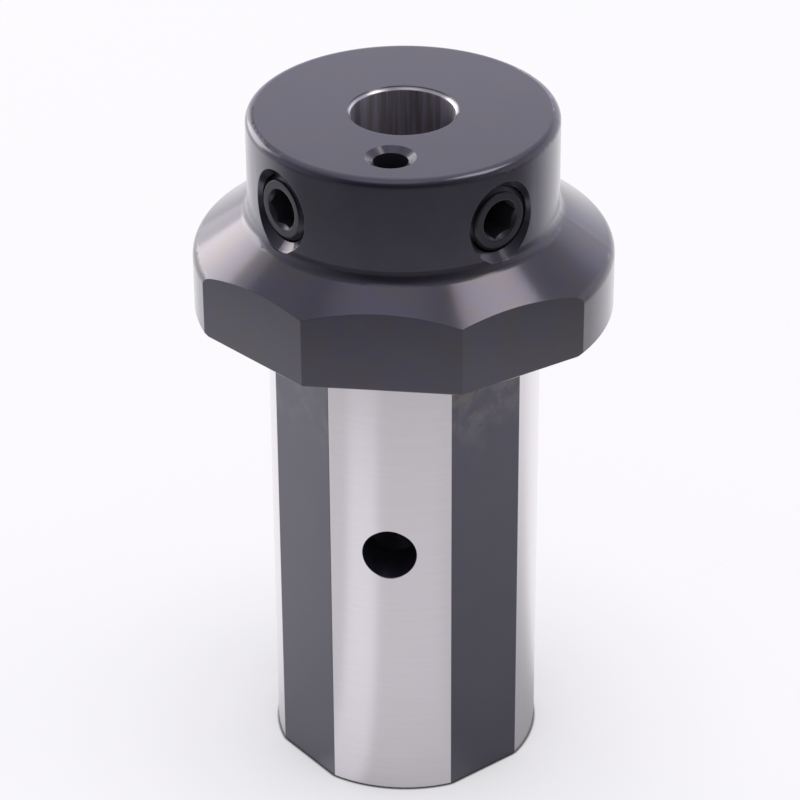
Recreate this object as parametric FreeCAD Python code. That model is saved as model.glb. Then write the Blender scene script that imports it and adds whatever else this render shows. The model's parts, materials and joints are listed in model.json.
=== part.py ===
import FreeCAD, Part
import math
import os

# Boring bar holder: a shank with clamping flats, a flange, and a head that grips a boring bar.
# Millimetres. +Z is the axis of the bar's bore, from the shank's end up to the head's top face.
# -Y is the front, the side of the coolant inlet and outlet. The origin is the centre of the
# shank's end face. Angles are degrees from the front, positive towards +X.

# Shank: the ground cylinder that fits the machine's socket, with flats for its clamp screws
shank_diameter = 32.0
shank_length = 59.5
shank_end_chamfer = 0.15
shank_flat_count = 4
shank_flat_first_angle = 45.0
shank_flat_distance = 15.2  # from the axis to each flat
relief_width = 2.5  # groove that lets the grinding wheel run out below the flange
relief_depth = 0.3

# Flange: a turned rim under a cone, with three flats milled across its front
flange_diameter = 49.0
flange_rim_height = 7.6  # up to the corner where the rim would meet the cone
flange_cone_height = 4.8  # from that corner to the one where the cone would meet the head
flange_rim_chamfer = 0.4
flange_rim_rounding = 1.7
front_flat_distance = 21.5
side_flat_distance = 22.4
side_flat_angle = 39.0
flat_edge_break = 0.15

# Head: the cylinder above the flange
head_diameter = 36.0
head_height = 12.1  # from the cone's corner to the top face
head_base_fillet = 1.9
head_top_rounding = 1.0

# Bore for the boring bar, right through the holder
bore_diameter = 12.0
bore_mouth_chamfer = 0.4

# Coolant: a hole drilled into the front land meets a channel drilled down from the top face
inlet_diameter = 6.4
inlet_height = 34.0
inlet_edge_chamfer = 0.1
channel_diameter = 4.0
channel_distance = 11.8  # from the bore's axis
channel_mouth_diameter = 5.8

# Set screws: metric 8 by 10, cup point, hexagon socket, in two tapped holes in the head
screw_angle = 45.0  # of each hole, one to each side of the front
screw_depth_below_top = 7.0
screw_diameter = 8.0
screw_length = 10.0
screw_recess = 0.6  # from the head's surface to the screw's outer face at rest
screw_clearance = 0.05  # radial, between the screw and its hole
screw_mouth_diameter = 9.95  # countersink of the tapped hole, at the head's surface
screw_end_chamfer = 0.6
screw_point_diameter = 5.5
screw_cup_diameter = 4.6
screw_cup_depth = 0.9
socket_sides = 6
socket_turn = 30.0  # of the hexagon about the screw's axis
socket_width = 4.0  # across the hexagon's flats
socket_depth = 4.5
socket_mouth_diameter = 4.9

# Included angles of the tools that cut the holes
drill_point_angle = 118.0
countersink_angle = 90.0

# Heights and radii that follow from the sizes above
shank_radius = shank_diameter / 2
flange_radius = flange_diameter / 2
head_radius = head_diameter / 2
bore_radius = bore_diameter / 2
channel_radius = channel_diameter / 2
inlet_radius = inlet_diameter / 2
hole_radius = screw_diameter / 2
screw_radius = hole_radius - screw_clearance
rim_top = shank_length + flange_rim_height
head_base = rim_top + flange_cone_height
total_height = head_base + head_height
screw_height = total_height - screw_depth_below_top
screw_angles = (screw_angle, -screw_angle)

up = FreeCAD.Vector(0, 0, 1)
outward = FreeCAD.Vector(0, -1, 0)
overshoot = 1.0  # how far a cutting shape runs past the surface that it opens


def on_axis(height):
    return FreeCAD.Vector(0, 0, height)


def in_section(radius, height):
    return FreeCAD.Vector(radius, 0, height)


def turned_to(shape, angle):
    """The shape, drawn at the front, turned about the holder's axis to an angle."""
    turned = shape.copy()
    turned.rotate(on_axis(0), up, angle)
    return turned


def rounded_corner(before, corner, after, rounding):
    """Start, middle and end of the arc that rounds a corner between its two neighbours."""
    back = (before - corner).normalize()
    ahead = (after - corner).normalize()
    half_angle = back.getAngle(ahead) / 2
    inward = (back + ahead).normalize() * (rounding / math.sin(half_angle) - rounding)
    reach = rounding / math.tan(half_angle)
    return corner + back * reach, corner + inward, corner + ahead * reach


def turned_solid(corners):
    """A solid turned about +Z. Each corner of its outline is a radius, a height and a rounding."""
    points = [in_section(radius, height) for radius, height, rounding in corners]
    bends = []
    for index, (radius, height, rounding) in enumerate(corners):
        if rounding:
            after = points[(index + 1) % len(points)]
            bends.append(rounded_corner(points[index - 1], points[index], after, rounding))
        else:
            bends.append([points[index]])
    edges = []
    for bend, following in zip(bends, bends[1:] + bends[:1]):
        if len(bend) > 1:
            edges.append(Part.Arc(*bend).toShape())
        edges.append(Part.LineSegment(bend[-1], following[0]).toShape())
    return Part.Face(Part.Wire(edges)).revolve(on_axis(0), up, 360)


def turned_blank():
    """The outer form as it leaves the lathe, before flats and holes."""
    relief_radius = shank_radius - relief_depth
    relief_base = shank_length - relief_width
    return turned_solid([
        (0, 0, 0),
        (shank_radius - shank_end_chamfer, 0, 0),
        (shank_radius, shank_end_chamfer, 0),
        (shank_radius, relief_base, 0),
        (relief_radius, relief_base + relief_depth, 0),
        (relief_radius, shank_length, 0),
        (flange_radius - flange_rim_chamfer, shank_length, 0),
        (flange_radius, shank_length + flange_rim_chamfer, 0),
        (flange_radius, rim_top, flange_rim_rounding),
        (head_radius, head_base, head_base_fillet),
        (head_radius, total_height, head_top_rounding),
        (0, total_height, 0),
    ])


def shank_flat_cut(angle):
    """What is milled off one side of the shank, from its end up to the flange."""
    width = shank_diameter
    depth = shank_radius - shank_flat_distance + overshoot
    corner = FreeCAD.Vector(-width / 2, -shank_flat_distance - depth, -overshoot)
    return turned_to(Part.makeBox(width, depth, shank_length + overshoot, corner), angle)


def flange_flat_cut(distance, angle):
    """What is milled off the flange, with the small bevel along the flat's lower edge."""
    reach = flange_radius + overshoot
    outline = [
        FreeCAD.Vector(0, -distance + flat_edge_break, shank_length),
        FreeCAD.Vector(0, -distance, shank_length + flat_edge_break),
        FreeCAD.Vector(0, -distance, head_base),
        FreeCAD.Vector(0, -reach, head_base),
        FreeCAD.Vector(0, -reach, shank_length),
        FreeCAD.Vector(0, -distance + flat_edge_break, shank_length),
    ]
    cut = Part.Face(Part.makePolygon(outline)).extrude(FreeCAD.Vector(flange_diameter, 0, 0))
    cut.translate(FreeCAD.Vector(-flange_radius, 0, 0))
    return turned_to(cut, angle)


def countersink(radius, mouth_radius, angle, mouth, direction):
    """What a countersink of an included angle leaves at a hole's mouth."""
    depth = (mouth_radius - radius) / math.tan(math.radians(angle / 2))
    cone = Part.makeCone(radius, mouth_radius, depth, mouth - direction * depth, direction)
    return cone.fuse(Part.makeCylinder(mouth_radius, overshoot, mouth, direction))


def drilled(radius, mouth, direction, depth):
    """A drilled hole from its mouth inwards, with the cone that the drill's point leaves."""
    start = mouth + direction * overshoot
    bottom = mouth - direction * depth
    point = radius / math.tan(math.radians(drill_point_angle / 2))
    wall = Part.makeCylinder(radius, depth + overshoot, start, direction * -1)
    return wall.fuse(Part.makeCone(radius, 0, point, bottom, direction * -1))


def bore_cut():
    """The bar's bore, countersunk at both ends."""
    mouth_radius = bore_radius + bore_mouth_chamfer
    length = total_height + 2 * overshoot
    wall = Part.makeCylinder(bore_radius, length, on_axis(-overshoot), up)
    top = countersink(bore_radius, mouth_radius, countersink_angle, on_axis(total_height), up)
    bottom = countersink(bore_radius, mouth_radius, countersink_angle, on_axis(0), up * -1)
    return wall.fuse([top, bottom])


def inlet_cut():
    """The cross hole in the front land, as deep as the channel's inner side."""
    mouth = FreeCAD.Vector(0, -shank_radius, inlet_height)
    depth = shank_radius - (channel_distance - channel_radius)
    mouth_radius = inlet_radius + inlet_edge_chamfer
    bevel = countersink(inlet_radius, mouth_radius, countersink_angle, mouth, outward)
    return drilled(inlet_radius, mouth, outward, depth).fuse(bevel)


def channel_cut():
    """The coolant channel, from the top face down to the middle of the cross hole."""
    mouth = FreeCAD.Vector(0, -channel_distance, total_height)
    mouth_radius = channel_mouth_diameter / 2
    bevel = countersink(channel_radius, mouth_radius, drill_point_angle, mouth, up)
    return drilled(channel_radius, mouth, up, total_height - inlet_height).fuse(bevel)


def screw_hole_cut(angle):
    """A tapped hole through the head's wall, taken at its outer thread diameter."""
    length = head_radius + overshoot
    wall = Part.makeCylinder(hole_radius, length, on_axis(screw_height), outward)
    mouth = on_axis(screw_height) + outward * head_radius
    bevel = countersink(hole_radius, screw_mouth_diameter / 2, countersink_angle, mouth, outward)
    return turned_to(wall.fuse(bevel), angle)


def holder_body():
    cuts = [
        flange_flat_cut(front_flat_distance, 0),
        flange_flat_cut(side_flat_distance, side_flat_angle),
        flange_flat_cut(side_flat_distance, -side_flat_angle),
        bore_cut(),
        inlet_cut(),
        channel_cut(),
    ]
    for index in range(shank_flat_count):
        cuts.append(shank_flat_cut(shank_flat_first_angle + index * 360.0 / shank_flat_count))
    for angle in screw_angles:
        cuts.append(screw_hole_cut(angle))
    return turned_blank().cut(cuts).removeSplitter()


def socket_cut():
    """The hexagon socket, drawn downwards from the origin, with its countersunk mouth."""
    pilot_radius = socket_width / 2
    corner_radius = pilot_radius / math.cos(math.pi / socket_sides)
    corners = []
    for index in range(socket_sides + 1):
        turn = math.radians(socket_turn) + 2 * math.pi * index / socket_sides
        corners.append(FreeCAD.Vector(math.cos(turn), math.sin(turn), 0) * corner_radius)
    hexagon = Part.Face(Part.makePolygon(corners)).extrude(up * -socket_depth)
    pilot = drilled(pilot_radius, on_axis(0), up, socket_depth)
    mouth_radius = socket_mouth_diameter / 2
    mouth = countersink(pilot_radius, mouth_radius, countersink_angle, on_axis(0), up)
    return hexagon.fuse([pilot, mouth])


def set_screw():
    """One set screw, drawn with its outer face at the origin and its point down."""
    point_radius = screw_point_diameter / 2
    screw = turned_solid([
        (0, 0, 0),
        (screw_radius - screw_end_chamfer, 0, 0),
        (screw_radius, -screw_end_chamfer, 0),
        (screw_radius, -screw_length + screw_radius - point_radius, 0),
        (point_radius, -screw_length, 0),
        (screw_cup_diameter / 2, -screw_length, 0),
        (0, -screw_length + screw_cup_depth, 0),
    ])
    return screw.cut(socket_cut())


def placed_screw(angle):
    """The set screw laid along its hole, its outer face just inside the head's surface."""
    screw = set_screw()
    screw.rotate(on_axis(0), FreeCAD.Vector(1, 0, 0), 90)
    screw.translate(on_axis(screw_height) + outward * (head_radius - screw_recess))
    return turned_to(screw, angle)


os.makedirs("parts", exist_ok=True)
holder_body().exportStep("parts/holder_body.step")
for number, angle in enumerate(screw_angles, 1):
    placed_screw(angle).exportStep(f"parts/set_screw_{number}.step")
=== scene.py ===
import json
import math
from types import SimpleNamespace

import bmesh
import bpy
from mathutils import Matrix, Vector


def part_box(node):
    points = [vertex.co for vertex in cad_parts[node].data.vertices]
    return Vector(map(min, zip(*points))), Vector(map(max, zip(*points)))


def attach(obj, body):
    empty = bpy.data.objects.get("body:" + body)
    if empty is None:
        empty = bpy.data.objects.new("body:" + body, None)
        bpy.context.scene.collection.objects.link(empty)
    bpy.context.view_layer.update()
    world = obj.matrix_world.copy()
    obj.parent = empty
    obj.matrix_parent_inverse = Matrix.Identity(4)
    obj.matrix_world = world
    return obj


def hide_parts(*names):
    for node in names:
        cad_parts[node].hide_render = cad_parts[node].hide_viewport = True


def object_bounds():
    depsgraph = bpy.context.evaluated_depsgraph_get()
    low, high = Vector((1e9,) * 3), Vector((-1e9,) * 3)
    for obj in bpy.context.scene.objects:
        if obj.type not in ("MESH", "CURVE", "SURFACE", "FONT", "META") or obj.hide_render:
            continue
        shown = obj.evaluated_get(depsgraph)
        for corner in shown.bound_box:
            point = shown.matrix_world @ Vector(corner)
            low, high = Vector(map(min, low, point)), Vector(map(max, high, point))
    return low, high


# Boring bar holder. The frame is in metres, +Z up, with its origin at the centre of the shank's
# end face, and -Y is the front. Lengths named _mm are millimetres. Azimuths are degrees from the
# front, positive towards +X, and elevations are degrees above level.

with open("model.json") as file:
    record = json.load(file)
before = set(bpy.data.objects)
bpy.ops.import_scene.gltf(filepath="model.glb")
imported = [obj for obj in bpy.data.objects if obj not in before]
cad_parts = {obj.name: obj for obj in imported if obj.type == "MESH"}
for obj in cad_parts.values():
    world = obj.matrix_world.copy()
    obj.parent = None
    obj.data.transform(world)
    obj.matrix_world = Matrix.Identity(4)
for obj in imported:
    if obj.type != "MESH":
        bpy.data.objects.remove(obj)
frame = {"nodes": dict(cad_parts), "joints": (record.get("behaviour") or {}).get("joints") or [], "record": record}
cad_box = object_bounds()

MM = 0.001
mounts = {mount["name"]: mount for mount in frame["record"]["mounts"]}
holder = frame["nodes"]["holder_body"]

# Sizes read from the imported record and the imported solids
shank_radius_mm = mounts["shank"]["dims"]["r_mm"]
shank_length_mm = mounts["shank"]["dims"]["length_mm"]
shank_flat_distance_mm = Vector(mounts["clamp_flat_1"]["pos_m"]).xy.length / MM
bore_radius_mm = mounts["bar_bore"]["dims"]["r_mm"]
inlet_radius_mm = mounts["coolant_inlet"]["dims"]["r_mm"]
inlet_height_mm = mounts["coolant_inlet"]["pos_m"][2] / MM
outlet_y_mm = mounts["coolant_outlet"]["pos_m"][1] / MM
top_mm = cad_box[1][2] / MM
screw_low, screw_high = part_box("set_screw_1")
screw_height_mm = (screw_low.z + screw_high.z) / 2 / MM
screw_radius_mm = (screw_high.z - screw_low.z) / 2 / MM

# Head, and the countersunk mouths of its holes
head_radius_mm = 18.0
head_height_mm = 12.1
head_base_mm = top_mm - head_height_mm
screw_mouth_radius_mm = 4.975
outlet_mouth_radius_mm = 2.85

# Set screws: metric 8 by 10 with a cup point
thread_pitch_mm = 1.25
thread_depth_mm = 0.70
thread_crest_share = 0.16
thread_root_share = 0.22
thread_rows_per_pitch = 20
round_steps = 96
sharp_edge_angle = 24
screw_chamfer_mm = 0.6
screw_face_radius_mm = screw_radius_mm - screw_chamfer_mm
screw_point_radius_mm = 2.75
cup_radius_mm = 2.3
cup_depth_mm = 0.9
socket_width_mm = 4.0
socket_depth_mm = 4.5
socket_mouth_radius_mm = 2.45
socket_tip_depth_mm = 5.7
socket_turns = {1: 15.0, 2: 3.0}  # degrees, for each screw's number

# Where the holder's finish changes: a pair is where a change starts and where it is complete
border_mm = 0.01  # half the width of a land's border
land_skin_mm = (0.05, 0.04)  # off the ground cylinder, to either side
land_top_gap_mm = 2.5
flat_edge_strip_mm = 0.03
inlet_edge_mm = 0.02
bore_edge_mm = (0.34, 0.12)  # outside the bore's radius
bore_wall_edge_mm = (0.06, 0.03)
rubbed_band_mm = (17.0, 6.0)  # below the flange
stained_band_mm = (12.0, 3.0)
flange_edge_mm = 0.1
head_stain_edge_mm = 2.0  # above the head's base
mouth_skin_mm = 0.06  # under the head's surface
mouth_edge_mm = 0.03
screw_mouth_edge_mm = 0.05
screw_hole_edge_mm = 0.1  # outside the bore's radius

# Strength of the finish's changes
stain_range = (0.1, 0.85)
head_stain_share = 0.45
# Painted shade: how far the outlet's mouth dims what the oxide mirrors
outlet_shade_share = 0.6

# Roughness, and the fine relief of the turned rings and the grain
oxide_roughness_range = (0.10, 0.26)
ground_roughness_range = (0.20, 0.22)
bore_roughness = 0.5
screw_roughness_range = (0.22, 0.38)
turning_mark_share = 0.5
oxide_ring_height = 0.6
bright_ring_height = 0.12
grain_height = 0.4
turning_stretch = 0.05  # around the axis
streak_stretch = 0.08  # along the bore

# Colours of the finish, where a gloss is the tint of what is mirrored
oxide_colours = (0.014, 0.0135, 0.021), (0.018, 0.017, 0.023)
rubbed_colour = (0.075, 0.068, 0.067)
ground_colours = (0.785, 0.755, 0.790), (0.800, 0.770, 0.805)
bore_colours = (0.42, 0.38, 0.40), (0.70, 0.68, 0.80)
oxide_gloss = (0.74, 0.70, 1.0)
stain_gloss = (0.84, 0.72, 0.74)
# Painted shade: the dimmed tint of what the holes' mouths mirror
mouth_shade_gloss = (0.42, 0.38, 0.52)
metal_gloss = (1.0, 1.0, 1.0)
screw_colours = (0.010, 0.0095, 0.012), (0.018, 0.0165, 0.019)
screw_gloss = (0.85, 0.82, 1.0, 1.0)

# Floor
floor_half_side = 6.0
floor_gap_mm = 0.02
floor_paint = (0.86, 0.85, 0.87, 1.0)
floor_black = (0.0, 0.0, 0.0)
floor_dimmed = (0.24, 0.235, 0.235)
floor_glow_colour = (0.97, 0.96, 1.0, 1.0)
floor_glow = 0.77
# Painted shadow: the floor's glow is dimmed where the object hides the room
contact_shadow_mm = 0.5
wide_shadow_mm = 30
shadow_samples = 16

# Floor as it is mirrored, with painted shade and a painted gleam: a spread is cosines from the azimuth, and a
# reach is metres from the object
dark_floor_azimuth = 12
dark_floor_spread = (-0.7, 0.2)
dark_floor_reach = (0.11, 0.17)
dark_floor_share = (0.30, 0.85)  # within that reach, and beyond it
gleam_azimuth = -27
gleam_spread = (0.96, 0.997)
gleam_reach = (0.12, 0.09)
gleam_share = 0.22
shade_azimuth = 80
shade_spread = (0.6, 0.9)
shade_reach = (0.13, 0.0)
shade_share = 0.33

# Room as it is mirrored: a spread is cosines, and the band's edges are sines of elevations
dark_room_azimuth = 5
dark_room_spread = (0.85, -0.90)
band_lower_edge = (0.37, 0.49)
band_upper_edge = (0.85, 0.60)
band_share = 0.35
overhead_azimuth = -40
overhead_elevation = 80
overhead_spread = (0.86, 0.99)
overhead_level = 0.85
mirrored_room_colour = (0.90, 0.875, 1.0)

# Room as the camera sees it, and the even light that it gives
seen_room_colour = (1.0, 0.995, 1.0)
fill_colour = (0.97, 0.97, 1.0, 1.0)
fill_level = 0.75

# Lamps, in metres
lamp_colour = (1.0, 0.94, 0.87)
lamp_distance = 0.8

# Photograph's camera
focal_length_mm = 157.08
sensor_width_mm = 36.0
camera_distance_mm = 416.07
camera_azimuth = 6.868
camera_elevation = 30.818
camera_roll = -0.356
target_height_mm = 45.652
target_right_mm = -0.541
nearest_seen_mm = 10.0


class Graph:
    """A node tree that is built by plain calls. Each call returns the socket that it makes."""

    def __init__(self, tree):
        self.tree = tree
        tree.nodes.clear()

    def node(self, kind, inputs=None, **settings):
        """The one call that returns the node itself."""
        node = self.tree.nodes.new(kind)
        for name, value in settings.items():
            setattr(node, name, value)
        for name, value in (inputs or {}).items():
            if isinstance(value, bpy.types.NodeSocket):
                self.tree.links.new(value, node.inputs[name])
            else:
                node.inputs[name].default_value = value
        return node

    def math(self, operation, *values):
        inputs = dict(enumerate(values))
        return self.node("ShaderNodeMath", inputs, operation=operation).outputs[0]

    def vector(self, operation, *values):
        inputs = dict(enumerate(values))
        return self.node("ShaderNodeVectorMath", inputs, operation=operation).outputs[0]

    def length(self, vector):
        return self.node("ShaderNodeVectorMath", {0: vector}, operation="LENGTH").outputs["Value"]

    def along(self, vector, direction):
        """How far a vector reaches in a fixed direction."""
        inputs = {0: vector, 1: direction}
        return self.node("ShaderNodeVectorMath", inputs, operation="DOT_PRODUCT").outputs["Value"]

    def split(self, vector):
        return self.node("ShaderNodeSeparateXYZ", {0: vector}).outputs

    def join(self, x, y, z):
        return self.node("ShaderNodeCombineXYZ", {"X": x, "Y": y, "Z": z}).outputs[0]

    def step(self, value, low, high):
        """0 below low, 1 above high and a smooth rise between. It falls where low is above high."""
        inputs = {"Value": value, "From Min": low, "From Max": high}
        node = self.node("ShaderNodeMapRange", inputs, interpolation_type="SMOOTHSTEP")
        return node.outputs["Result"]

    def ramp(self, value, low, high):
        """0 at low, 1 at high and a straight line between, whichever of the two is larger."""
        inputs = {"Value": value, "From Min": low, "From Max": high}
        return self.node("ShaderNodeMapRange", inputs).outputs["Result"]

    def scaled(self, value, low, high):
        """A value from 0 to 1 taken to the range from low to high."""
        inputs = {"Value": value, "To Min": low, "To Max": high}
        return self.node("ShaderNodeMapRange", inputs).outputs["Result"]

    def noise(self, vector, scale, detail, roughness):
        inputs = {"Vector": vector, "Scale": scale, "Detail": detail, "Roughness": roughness}
        return self.node("ShaderNodeTexNoise", inputs).outputs["Fac"]

    def colour(self, share, first, second):
        """One colour into another, by a share from 0 to 1."""
        node = self.node("ShaderNodeMix", data_type="RGBA")
        self.tree.links.new(share, node.inputs["Factor"])
        for name, value in (("A", first), ("B", second)):
            socket = [s for s in node.inputs if s.name == name and s.type == "RGBA"][0]
            if isinstance(value, bpy.types.NodeSocket):
                self.tree.links.new(value, socket)
            else:
                socket.default_value = (*value, 1.0)
        return [s for s in node.outputs if s.type == "RGBA"][0]

    def blend(self, share, first, second):
        """One number into another, by a share from 0 to 1."""
        inputs = {0: share, 2: first, 3: second}
        return self.node("ShaderNodeMix", inputs, data_type="FLOAT").outputs[0]

    def every(self, *masks):
        """The product, which is 1 only where every mask is 1."""
        result = masks[0]
        for mask in masks[1:]:
            result = self.math("MULTIPLY", result, mask)
        return result

    def bump(self, height, strength, distance_mm, bevel_mm, samples):
        """The surface's direction, with its edges softened and a fine height on it."""
        softened = self.node("ShaderNodeBevel", {"Radius": bevel_mm * MM}, samples=samples)
        inputs = {
            "Strength": strength,
            "Distance": distance_mm * MM,
            "Height": height,
            "Normal": softened.outputs[0],
        }
        return self.node("ShaderNodeBump", inputs).outputs[0]


def new_material(name):
    material = bpy.data.materials.new(name)
    material.use_nodes = True
    return material, Graph(material.node_tree)


def towards(azimuth, elevation):
    """The direction from the object to an azimuth and an elevation."""
    turn, rise = math.radians(azimuth), math.radians(elevation)
    level = math.cos(rise)
    return Vector((math.sin(turn) * level, -math.cos(turn) * level, math.sin(rise)))


def screw_axis(number):
    """The direction in which a set screw's hole opens."""
    return Vector(frame["joints"][number - 1]["axis"]).normalized()


def place_mm(graph):
    """Where the shaded point lies on the object at rest, in millimetres."""
    place = graph.node("ShaderNodeTexCoord").outputs["Object"]
    return graph.vector("MULTIPLY", place, (1 / MM, 1 / MM, 1 / MM))


def holder_place(graph):
    """The shaded point's place, its distance from the axis and around it, and its place as turned."""
    place = place_mm(graph)
    x, y, z = graph.split(place)
    radius = graph.length(graph.join(x, y, 0.0))
    around = graph.math("MULTIPLY", graph.math("ARCTAN2", y, x), shank_radius_mm)
    turned = graph.join(graph.math("MULTIPLY", around, turning_stretch), radius, z)
    return SimpleNamespace(place=place, x=x, y=y, z=z, radius=radius, around=around, turned=turned)


def land_mask(graph, at):
    """The shank's ground cylinder, between its flats and clear of the inlet."""
    start, full = land_skin_mm
    across = graph.math("ADD", graph.math("ABSOLUTE", at.x), graph.math("ABSOLUTE", at.y))
    to_flat = graph.math("MULTIPLY", across, math.sqrt(0.5))
    edge = shank_flat_distance_mm - flat_edge_strip_mm
    top = shank_length_mm - land_top_gap_mm
    inlet = graph.length(graph.join(at.x, 0.0, graph.math("SUBTRACT", at.z, inlet_height_mm)))
    rim = inlet_radius_mm + inlet_edge_mm
    behind = graph.step(at.y, -1.0, 1.0)
    return graph.every(
        graph.step(at.radius, shank_radius_mm - start, shank_radius_mm - full),
        graph.step(at.radius, shank_radius_mm + start, shank_radius_mm + full),
        graph.step(to_flat, edge + border_mm, edge - border_mm),
        graph.step(at.z, 0.0, 2 * border_mm),
        graph.step(at.z, top, top - 2 * border_mm),
        graph.math("MAXIMUM", graph.step(inlet, rim, rim + 3 * border_mm), behind),
    )


def screw_mouth_shade(graph, at):
    """1 on the tapped holes' walls and countersinks, where the oxide's reflection is dimmed as painted shade, and
    0 on the head's outside.
    """
    result = 0.0
    for number in socket_turns:
        outward = screw_axis(number)
        reach = graph.along(at.place, outward)
        across = graph.along(at.place, Vector((0, 0, 1)).cross(outward))
        height = graph.math("SUBTRACT", at.z, screw_height_mm)
        from_axis = graph.length(graph.join(across, 0.0, height))
        radius = graph.length(graph.join(reach, across, 0.0))
        sunk = graph.math("SUBTRACT", head_radius_mm - mouth_skin_mm, radius)
        rim = screw_mouth_radius_mm
        inside = graph.every(
            graph.step(from_axis, rim + screw_mouth_edge_mm, rim),
            graph.step(sunk, 0.0, mouth_edge_mm),
            graph.step(reach, bore_radius_mm, bore_radius_mm + screw_hole_edge_mm),
        )
        result = graph.math("MAXIMUM", result, inside)
    return result


def outlet_mouth_shade(graph, at):
    """A share close round the coolant outlet's axis, below the top face, and 0 elsewhere. It dims the reflection
    there as painted shade.
    """
    from_axis = graph.length(graph.join(at.x, graph.math("SUBTRACT", at.y, outlet_y_mm), 0.0))
    rim = outlet_mouth_radius_mm
    return graph.every(
        graph.step(from_axis, rim + mouth_edge_mm, rim - mouth_edge_mm),
        graph.step(at.z, top_mm, top_mm - mouth_edge_mm),
        outlet_shade_share,
    )


def oxide_colour(graph, at, patches):
    """Black oxide in broad patches, rubbed thin near the top of the shank's flats."""
    start, full = rubbed_band_mm
    near_flange = graph.every(
        graph.step(at.z, shank_length_mm - start, shank_length_mm - full),
        graph.step(at.z, shank_length_mm + flange_edge_mm, shank_length_mm),
    )
    wear = graph.noise(at.place, scale=0.30, detail=7.0, roughness=0.7)
    rubbed = graph.every(near_flange, graph.step(wear, 0.42, 0.64))
    oxide = graph.colour(graph.step(patches, 0.35, 0.65), *oxide_colours)
    return graph.colour(rubbed, oxide, rubbed_colour)


def steel_colour(graph, at, bore_wall):
    """Ground steel, with faint bands around the shank and streaks along the bore."""
    bands = graph.noise(at.turned, scale=2.2, detail=3.0, roughness=0.5)
    ground = graph.colour(graph.step(bands, 0.35, 0.65), *ground_colours)
    lengthwise = graph.join(at.around, 0.0, graph.math("MULTIPLY", at.z, streak_stretch))
    streaks = graph.noise(lengthwise, scale=0.35, detail=5.0, roughness=0.7)
    bored = graph.colour(graph.step(streaks, 0.38, 0.62), *bore_colours)
    return graph.colour(bore_wall, ground, bored)


def oxide_tint(graph, at):
    """The tint of what the oxide mirrors: bluish, stained most on the flange, and dimmed in the holes' mouths as
    painted shade.
    """
    start, full = stained_band_mm
    above_shank = graph.step(at.z, shank_length_mm - start, shank_length_mm - full)
    below_head = graph.step(at.z, head_base_mm + head_stain_edge_mm, head_base_mm)
    below_head = graph.scaled(below_head, head_stain_share, 1.0)
    browning = graph.scaled(graph.every(above_shank, below_head), *stain_range)
    stains = graph.noise(at.place, scale=0.20, detail=7.0, roughness=0.75)
    stains = graph.every(graph.step(stains, 0.44, 0.62), browning)
    tint = graph.colour(stains, oxide_gloss, stain_gloss)
    # Painted shade: the holes' mouths mirror less than the outside
    mouths = graph.math("MAXIMUM", screw_mouth_shade(graph, at), outlet_mouth_shade(graph, at))
    return graph.colour(mouths, tint, mouth_shade_gloss)


def holder_material():
    """Black oxide all over, with the shank's lands and the bore ground bright."""
    material, graph = new_material("black_oxide_and_ground_steel")
    at = holder_place(graph)
    bore = graph.step(at.radius, *(bore_radius_mm + edge for edge in bore_edge_mm))
    bore_wall = graph.step(at.radius, *(bore_radius_mm + edge for edge in bore_wall_edge_mm))
    bright = graph.math("MAXIMUM", land_mask(graph, at), bore)

    # Broad patches, fine grain, and the rings and marks that turning leaves
    patches = graph.noise(at.place, scale=0.16, detail=4.0, roughness=0.55)
    grain = graph.noise(at.place, scale=9.0, detail=4.0, roughness=0.6)
    rings = graph.noise(at.turned, scale=14.0, detail=3.0, roughness=0.6)
    marks = graph.noise(at.turned, scale=2.6, detail=2.0, roughness=0.5)

    oxide = oxide_colour(graph, at, patches)
    metal = steel_colour(graph, at, bore_wall)
    unevenness = graph.math("ADD", patches, graph.math("MULTIPLY", marks, turning_mark_share))
    oxide_roughness = graph.scaled(graph.every(unevenness, grain), *oxide_roughness_range)
    ground_roughness = graph.scaled(rings, *ground_roughness_range)
    metal_roughness = graph.blend(bore_wall, ground_roughness, bore_roughness)
    ring_height = graph.scaled(bright, oxide_ring_height, bright_ring_height)
    ring_relief = graph.math("MULTIPLY", rings, ring_height)
    relief = graph.math("ADD", ring_relief, graph.math("MULTIPLY", grain, grain_height))
    shader = graph.node(
        "ShaderNodeBsdfPrincipled",
        {
            "Base Color": graph.colour(bright, oxide, metal),
            "Metallic": bright,
            "Roughness": graph.blend(bright, oxide_roughness, metal_roughness),
            "IOR": 1.85,
            "Coat Weight": 0.8,
            "Coat Roughness": 0.25,
            "Specular Tint": graph.colour(bright, oxide_tint(graph, at), metal_gloss),
            "Anisotropic": 0.6,
            "Tangent": graph.join(0.0, 0.0, 1.0),
            "Normal": graph.bump(relief, strength=0.25, distance_mm=0.004, bevel_mm=0.10, samples=6),
        },
    )
    graph.node("ShaderNodeOutputMaterial", {"Surface": shader.outputs[0]})
    return material


def screw_material():
    """Black oxide on a rolled and heat treated screw: darker and less glossy than the holder's."""
    material, graph = new_material("screw_black_oxide")
    grain = graph.noise(place_mm(graph), scale=7.0, detail=5.0, roughness=0.65)
    shader = graph.node(
        "ShaderNodeBsdfPrincipled",
        {
            "Base Color": graph.colour(graph.step(grain, 0.35, 0.7), *screw_colours),
            "Roughness": graph.scaled(grain, *screw_roughness_range),
            "IOR": 1.65,
            "Specular Tint": screw_gloss,
            "Normal": graph.bump(grain, strength=0.35, distance_mm=0.008, bevel_mm=0.25, samples=8),
        },
    )
    graph.node("ShaderNodeOutputMaterial", {"Surface": shader.outputs[0]})
    return material


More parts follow.
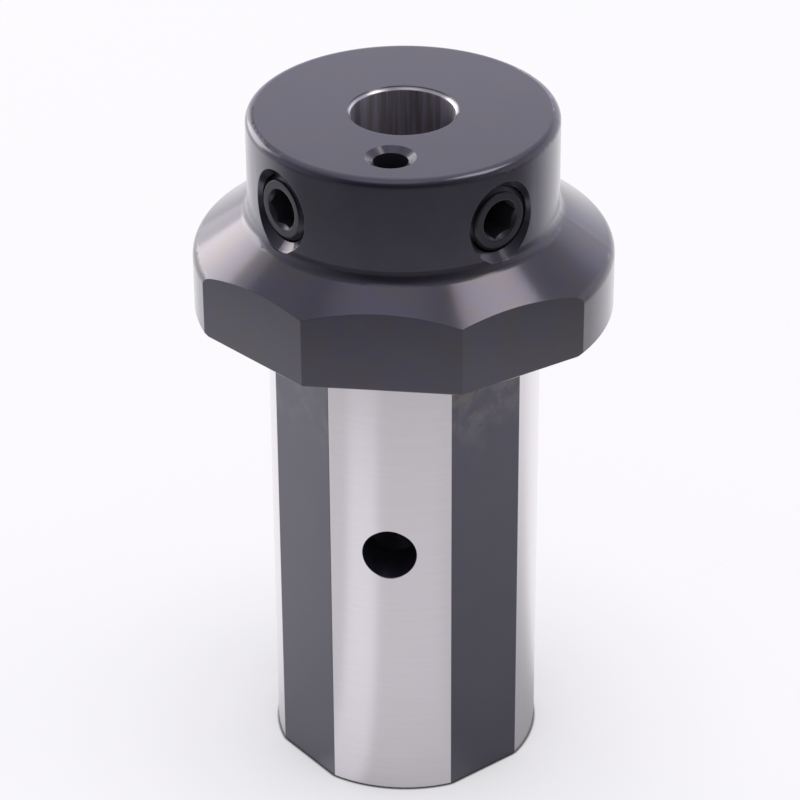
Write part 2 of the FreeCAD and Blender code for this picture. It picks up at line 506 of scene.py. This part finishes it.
def thread_radius(turn, depth, length):
    """The thread's radius at a turn (0 to 1) and a depth, between its end chamfers, in mm."""
    phase = (depth / thread_pitch_mm - turn) % 1.0
    from_crest = abs(phase - 0.5) * 2
    flank = 1.0 - thread_crest_share - thread_root_share
    drop = min(max((from_crest - thread_crest_share) / flank, 0.0), 1.0)
    radius = screw_radius_mm - thread_depth_mm * drop
    outer_end = screw_face_radius_mm + depth
    point_end = screw_point_radius_mm + length - depth
    return min(radius, outer_end, point_end)


def hexagon_radius(turn, socket_turn):
    """The distance from the axis to the socket's wall at a turn, in mm."""
    angle = (turn * 360.0 - socket_turn) % 60.0 - 30.0
    return socket_width_mm / 2 / math.cos(math.radians(angle))


def screw_rings(length, socket_turn):
    """The screw's surface as rings, from the socket's bottom over the face and thread to the cup."""

    def level(radius, depth):
        return lambda turn: (radius, depth)

    def socket_wall(depth):
        return lambda turn: (hexagon_radius(turn, socket_turn), depth)

    def socket_rim(turn):
        radius = hexagon_radius(turn, socket_turn)
        return radius, socket_mouth_radius_mm - radius

    def thread(depth):
        return lambda turn: (thread_radius(turn, depth, length), depth)

    rows = round(length / thread_pitch_mm * thread_rows_per_pitch)
    rings = [level(socket_width_mm / 2, socket_depth_mm), socket_wall(socket_depth_mm), socket_rim]
    rings.append(level(socket_mouth_radius_mm, 0.0))
    rings += [thread(length * row / rows) for row in range(rows + 1)]
    rings.append(level(cup_radius_mm, length))
    return rings


def screw_mesh(name, length, socket_turn):
    """A mesh with its face at the origin, its axis on +Z and its point towards -Z."""
    mesh = bpy.data.meshes.new(name)
    build = bmesh.new()
    rows = []
    for ring in screw_rings(length, socket_turn):
        row = []
        for step in range(round_steps):
            turn = step / round_steps
            radius, depth = ring(turn)
            angle = 2 * math.pi * turn
            point = Vector((radius * math.cos(angle), radius * math.sin(angle), -depth))
            row.append(build.verts.new(point * MM))
        rows.append(row)
    tip = build.verts.new((0, 0, -socket_tip_depth_mm * MM))
    cup = build.verts.new((0, 0, -(length - cup_depth_mm) * MM))
    for step in range(round_steps):
        following = (step + 1) % round_steps
        build.faces.new((tip, rows[0][following], rows[0][step]))
        build.faces.new((cup, rows[-1][step], rows[-1][following]))
        for upper, lower in zip(rows, rows[1:]):
            build.faces.new((upper[step], upper[following], lower[following], lower[step]))
    bmesh.ops.recalc_face_normals(build, faces=build.faces)
    build.to_mesh(mesh)
    build.free()
    for polygon in mesh.polygons:
        polygon.use_smooth = True
    mesh.set_sharp_from_angle(angle=math.radians(sharp_edge_angle))
    return mesh


def add_screw(number, material):
    """A threaded screw in place of its plain solid, riding on its own body."""
    node = frame["nodes"][f"set_screw_{number}"]
    outward = screw_axis(number)
    reaches = [vertex.co.dot(outward) for vertex in node.data.vertices]
    face, length = max(reaches), max(reaches) - min(reaches)
    name = f"threaded_screw_{number}"
    screw = bpy.data.objects.new(name, screw_mesh(name, length / MM, socket_turns[number]))
    bpy.context.scene.collection.objects.link(screw)
    side = Vector((0, 0, 1)).cross(outward)
    turned = Matrix((side, Vector((0, 0, 1)), outward)).transposed().to_4x4()
    centre = outward * face + Vector((0, 0, screw_height_mm * MM))
    screw.matrix_world = Matrix.Translation(centre) @ turned
    screw.data.materials.append(material)
    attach(screw, frame["joints"][number - 1]["child"])
    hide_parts(node.name)


def seen_directly(graph, path):
    """1 for the camera's rays and for reflections and refractions, and 0 for light on things."""
    mirrored = graph.math("MAXIMUM", path["Is Glossy Ray"], path["Is Transmission Ray"])
    return graph.math("MAXIMUM", path["Is Camera Ray"], mirrored)


def floor_light(graph, path):
    """How light the floor is: even for the camera, and uneven for what the object mirrors, where painted shade and
    a painted gleam lie on it.
    """
    place = graph.node("ShaderNodeTexCoord").outputs["Object"]
    reach = graph.length(place)

    def facing(azimuth):
        return graph.math("DIVIDE", graph.along(place, towards(azimuth, 0)), reach)

    # Painted shade ahead, a painted gleam, and painted shade to the right, on the floor's glow
    dark = graph.step(facing(dark_floor_azimuth), *dark_floor_spread)
    darkening = graph.scaled(graph.step(reach, *dark_floor_reach), *dark_floor_share)
    lit = graph.math("SUBTRACT", 1.0, graph.math("MULTIPLY", dark, darkening))
    gleam = graph.step(facing(gleam_azimuth), *gleam_spread)
    gleam = graph.every(gleam, graph.step(reach, *gleam_reach), gleam_share)
    lit = graph.math("ADD", lit, gleam)
    shade = graph.step(facing(shade_azimuth), *shade_spread)
    shade = graph.every(shade, graph.step(reach, *shade_reach), shade_share)
    lit = graph.math("MULTIPLY", lit, graph.math("SUBTRACT", 1.0, shade))
    return graph.math("MAXIMUM", lit, path["Is Camera Ray"])


def painted_floor_shadow(graph):
    """1 on the open floor, and less in a painted shadow: the object's soft shadow and its line of contact."""

    def openness(distance_mm):
        inputs = {"Distance": distance_mm * MM}
        node = graph.node("ShaderNodeAmbientOcclusion", inputs, samples=shadow_samples)
        return node.outputs["AO"]

    contact = graph.step(openness(contact_shadow_mm), 0.5, 0.9)
    wide = graph.scaled(openness(wide_shadow_mm), 0.5, 1.0)
    return graph.math("MULTIPLY", contact, wide)


def floor_material():
    """A pale floor. It glows where it is seen or mirrored, and lights other things as paint does."""
    material, graph = new_material("floor_white")
    path = graph.node("ShaderNodeLightPath").outputs
    lit = floor_light(graph, path)
    paint = graph.node("ShaderNodeBsdfDiffuse", {"Color": floor_paint})
    dimmed_colour = graph.colour(lit, floor_black, floor_dimmed)
    dimmed = graph.node("ShaderNodeBsdfDiffuse", {"Color": dimmed_colour})
    # The glow carries the painted shadow of the object
    strength = graph.every(lit, painted_floor_shadow(graph), floor_glow)
    glow = graph.node("ShaderNodeEmission", {"Color": floor_glow_colour, "Strength": strength})
    both = graph.node("ShaderNodeAddShader", {0: dimmed.outputs[0], 1: glow.outputs[0]})
    shares = {0: seen_directly(graph, path), 1: paint.outputs[0], 2: both.outputs[0]}
    mixed = graph.node("ShaderNodeMixShader", shares)
    graph.node("ShaderNodeOutputMaterial", {"Surface": mixed.outputs[0]})
    return material


def add_floor():
    """A wide flat floor just under the shank's end."""
    mesh = bpy.data.meshes.new("floor")
    side = floor_half_side
    corners = [(-side, -side, 0), (side, -side, 0), (side, side, 0), (-side, side, 0)]
    mesh.from_pydata(corners, [], [(0, 1, 2, 3)])
    floor = bpy.data.objects.new("floor", mesh)
    bpy.context.scene.collection.objects.link(floor)
    floor.location.z = cad_box[0][2] - floor_gap_mm * MM
    mesh.materials.append(floor_material())


def room_level(graph, direction):
    """How light the room is: dark ahead and light behind, with a dimmer band and a light above."""
    ahead = graph.along(direction, towards(dark_room_azimuth, 0))
    rise = graph.split(direction)["Z"]
    above_edge = graph.step(rise, *band_lower_edge)
    below_edge = graph.step(rise, *band_upper_edge)
    band = graph.every(above_edge, below_edge, band_share)
    wall = graph.ramp(ahead, *dark_room_spread)
    wall = graph.math("MULTIPLY", wall, graph.math("SUBTRACT", 1.0, band))
    overhead = graph.along(direction, towards(overhead_azimuth, overhead_elevation))
    overhead = graph.math("MULTIPLY", graph.step(overhead, *overhead_spread), overhead_level)
    return graph.math("MAXIMUM", wall, overhead)


def light_world():
    """An even fill on the object. The camera sees a white room, and shiny surfaces an uneven one."""
    world = bpy.data.worlds.new("studio")
    bpy.context.scene.world = world
    world.use_nodes = True
    graph = Graph(world.node_tree)
    path = graph.node("ShaderNodeLightPath").outputs
    direction = graph.node("ShaderNodeTexCoord").outputs["Generated"]
    room = graph.math("MAXIMUM", room_level(graph, direction), path["Is Camera Ray"])
    room_colour = graph.colour(path["Is Camera Ray"], mirrored_room_colour, seen_room_colour)
    fill = graph.node("ShaderNodeBackground", {"Color": fill_colour, "Strength": fill_level})
    seen = graph.node("ShaderNodeBackground", {"Color": room_colour, "Strength": room})
    shares = {0: seen_directly(graph, path), 1: fill.outputs[0], 2: seen.outputs[0]}
    mixed = graph.node("ShaderNodeMixShader", shares)
    graph.node("ShaderNodeOutputWorld", {"Surface": mixed.outputs[0]})


def add_softbox(name, azimuth, elevation, size, radiance):
    """A square lamp that faces the object. Its radiance is what a mirror would show of it."""
    lamp = bpy.data.lights.new(name, "AREA")
    lamp.shape = "SQUARE"
    lamp.size = size
    lamp.color = lamp_colour
    lamp.energy = radiance * math.pi * size * size
    light = bpy.data.objects.new(name, lamp)
    direction = towards(azimuth, elevation)
    aim = Vector((0, 0, shank_length_mm * MM))
    light.location = aim + direction * lamp_distance
    light.rotation_euler = direction.to_track_quat("Z", "Y").to_euler()
    bpy.context.scene.collection.objects.link(light)


def add_camera():
    """The photograph's view, fitted to the object's outline."""
    back = towards(camera_azimuth, camera_elevation)
    right = Vector((0, 0, 1)).cross(back).normalized()
    up = back.cross(right)
    target = Vector((0, 0, target_height_mm * MM)) + right * target_right_mm * MM
    camera = bpy.data.objects.new("camera", bpy.data.cameras.new("camera"))
    camera.data.sensor_width = sensor_width_mm
    camera.data.lens = focal_length_mm
    camera.data.clip_start = nearest_seen_mm * MM
    turned = Matrix((right, up, back)).transposed().to_4x4()
    rolled = turned @ Matrix.Rotation(math.radians(camera_roll), 4, "Z")
    camera.matrix_world = Matrix.Translation(target + back * camera_distance_mm * MM) @ rolled
    bpy.context.scene.collection.objects.link(camera)
    bpy.context.scene.camera = camera


holder.material_slots[0].material = holder_material()
screw_finish = screw_material()
for screw_number in socket_turns:
    add_screw(screw_number, screw_finish)

add_floor()
light_world()
add_softbox("right_light", azimuth=97, elevation=60, size=0.34, radiance=2.6)
add_softbox("left_back_light", azimuth=-125, elevation=18, size=0.42, radiance=1.9)
add_softbox("left_back_halo", azimuth=-128, elevation=19, size=0.64, radiance=0.6)
add_camera()
bpy.context.scene.view_settings.view_transform = "Standard"
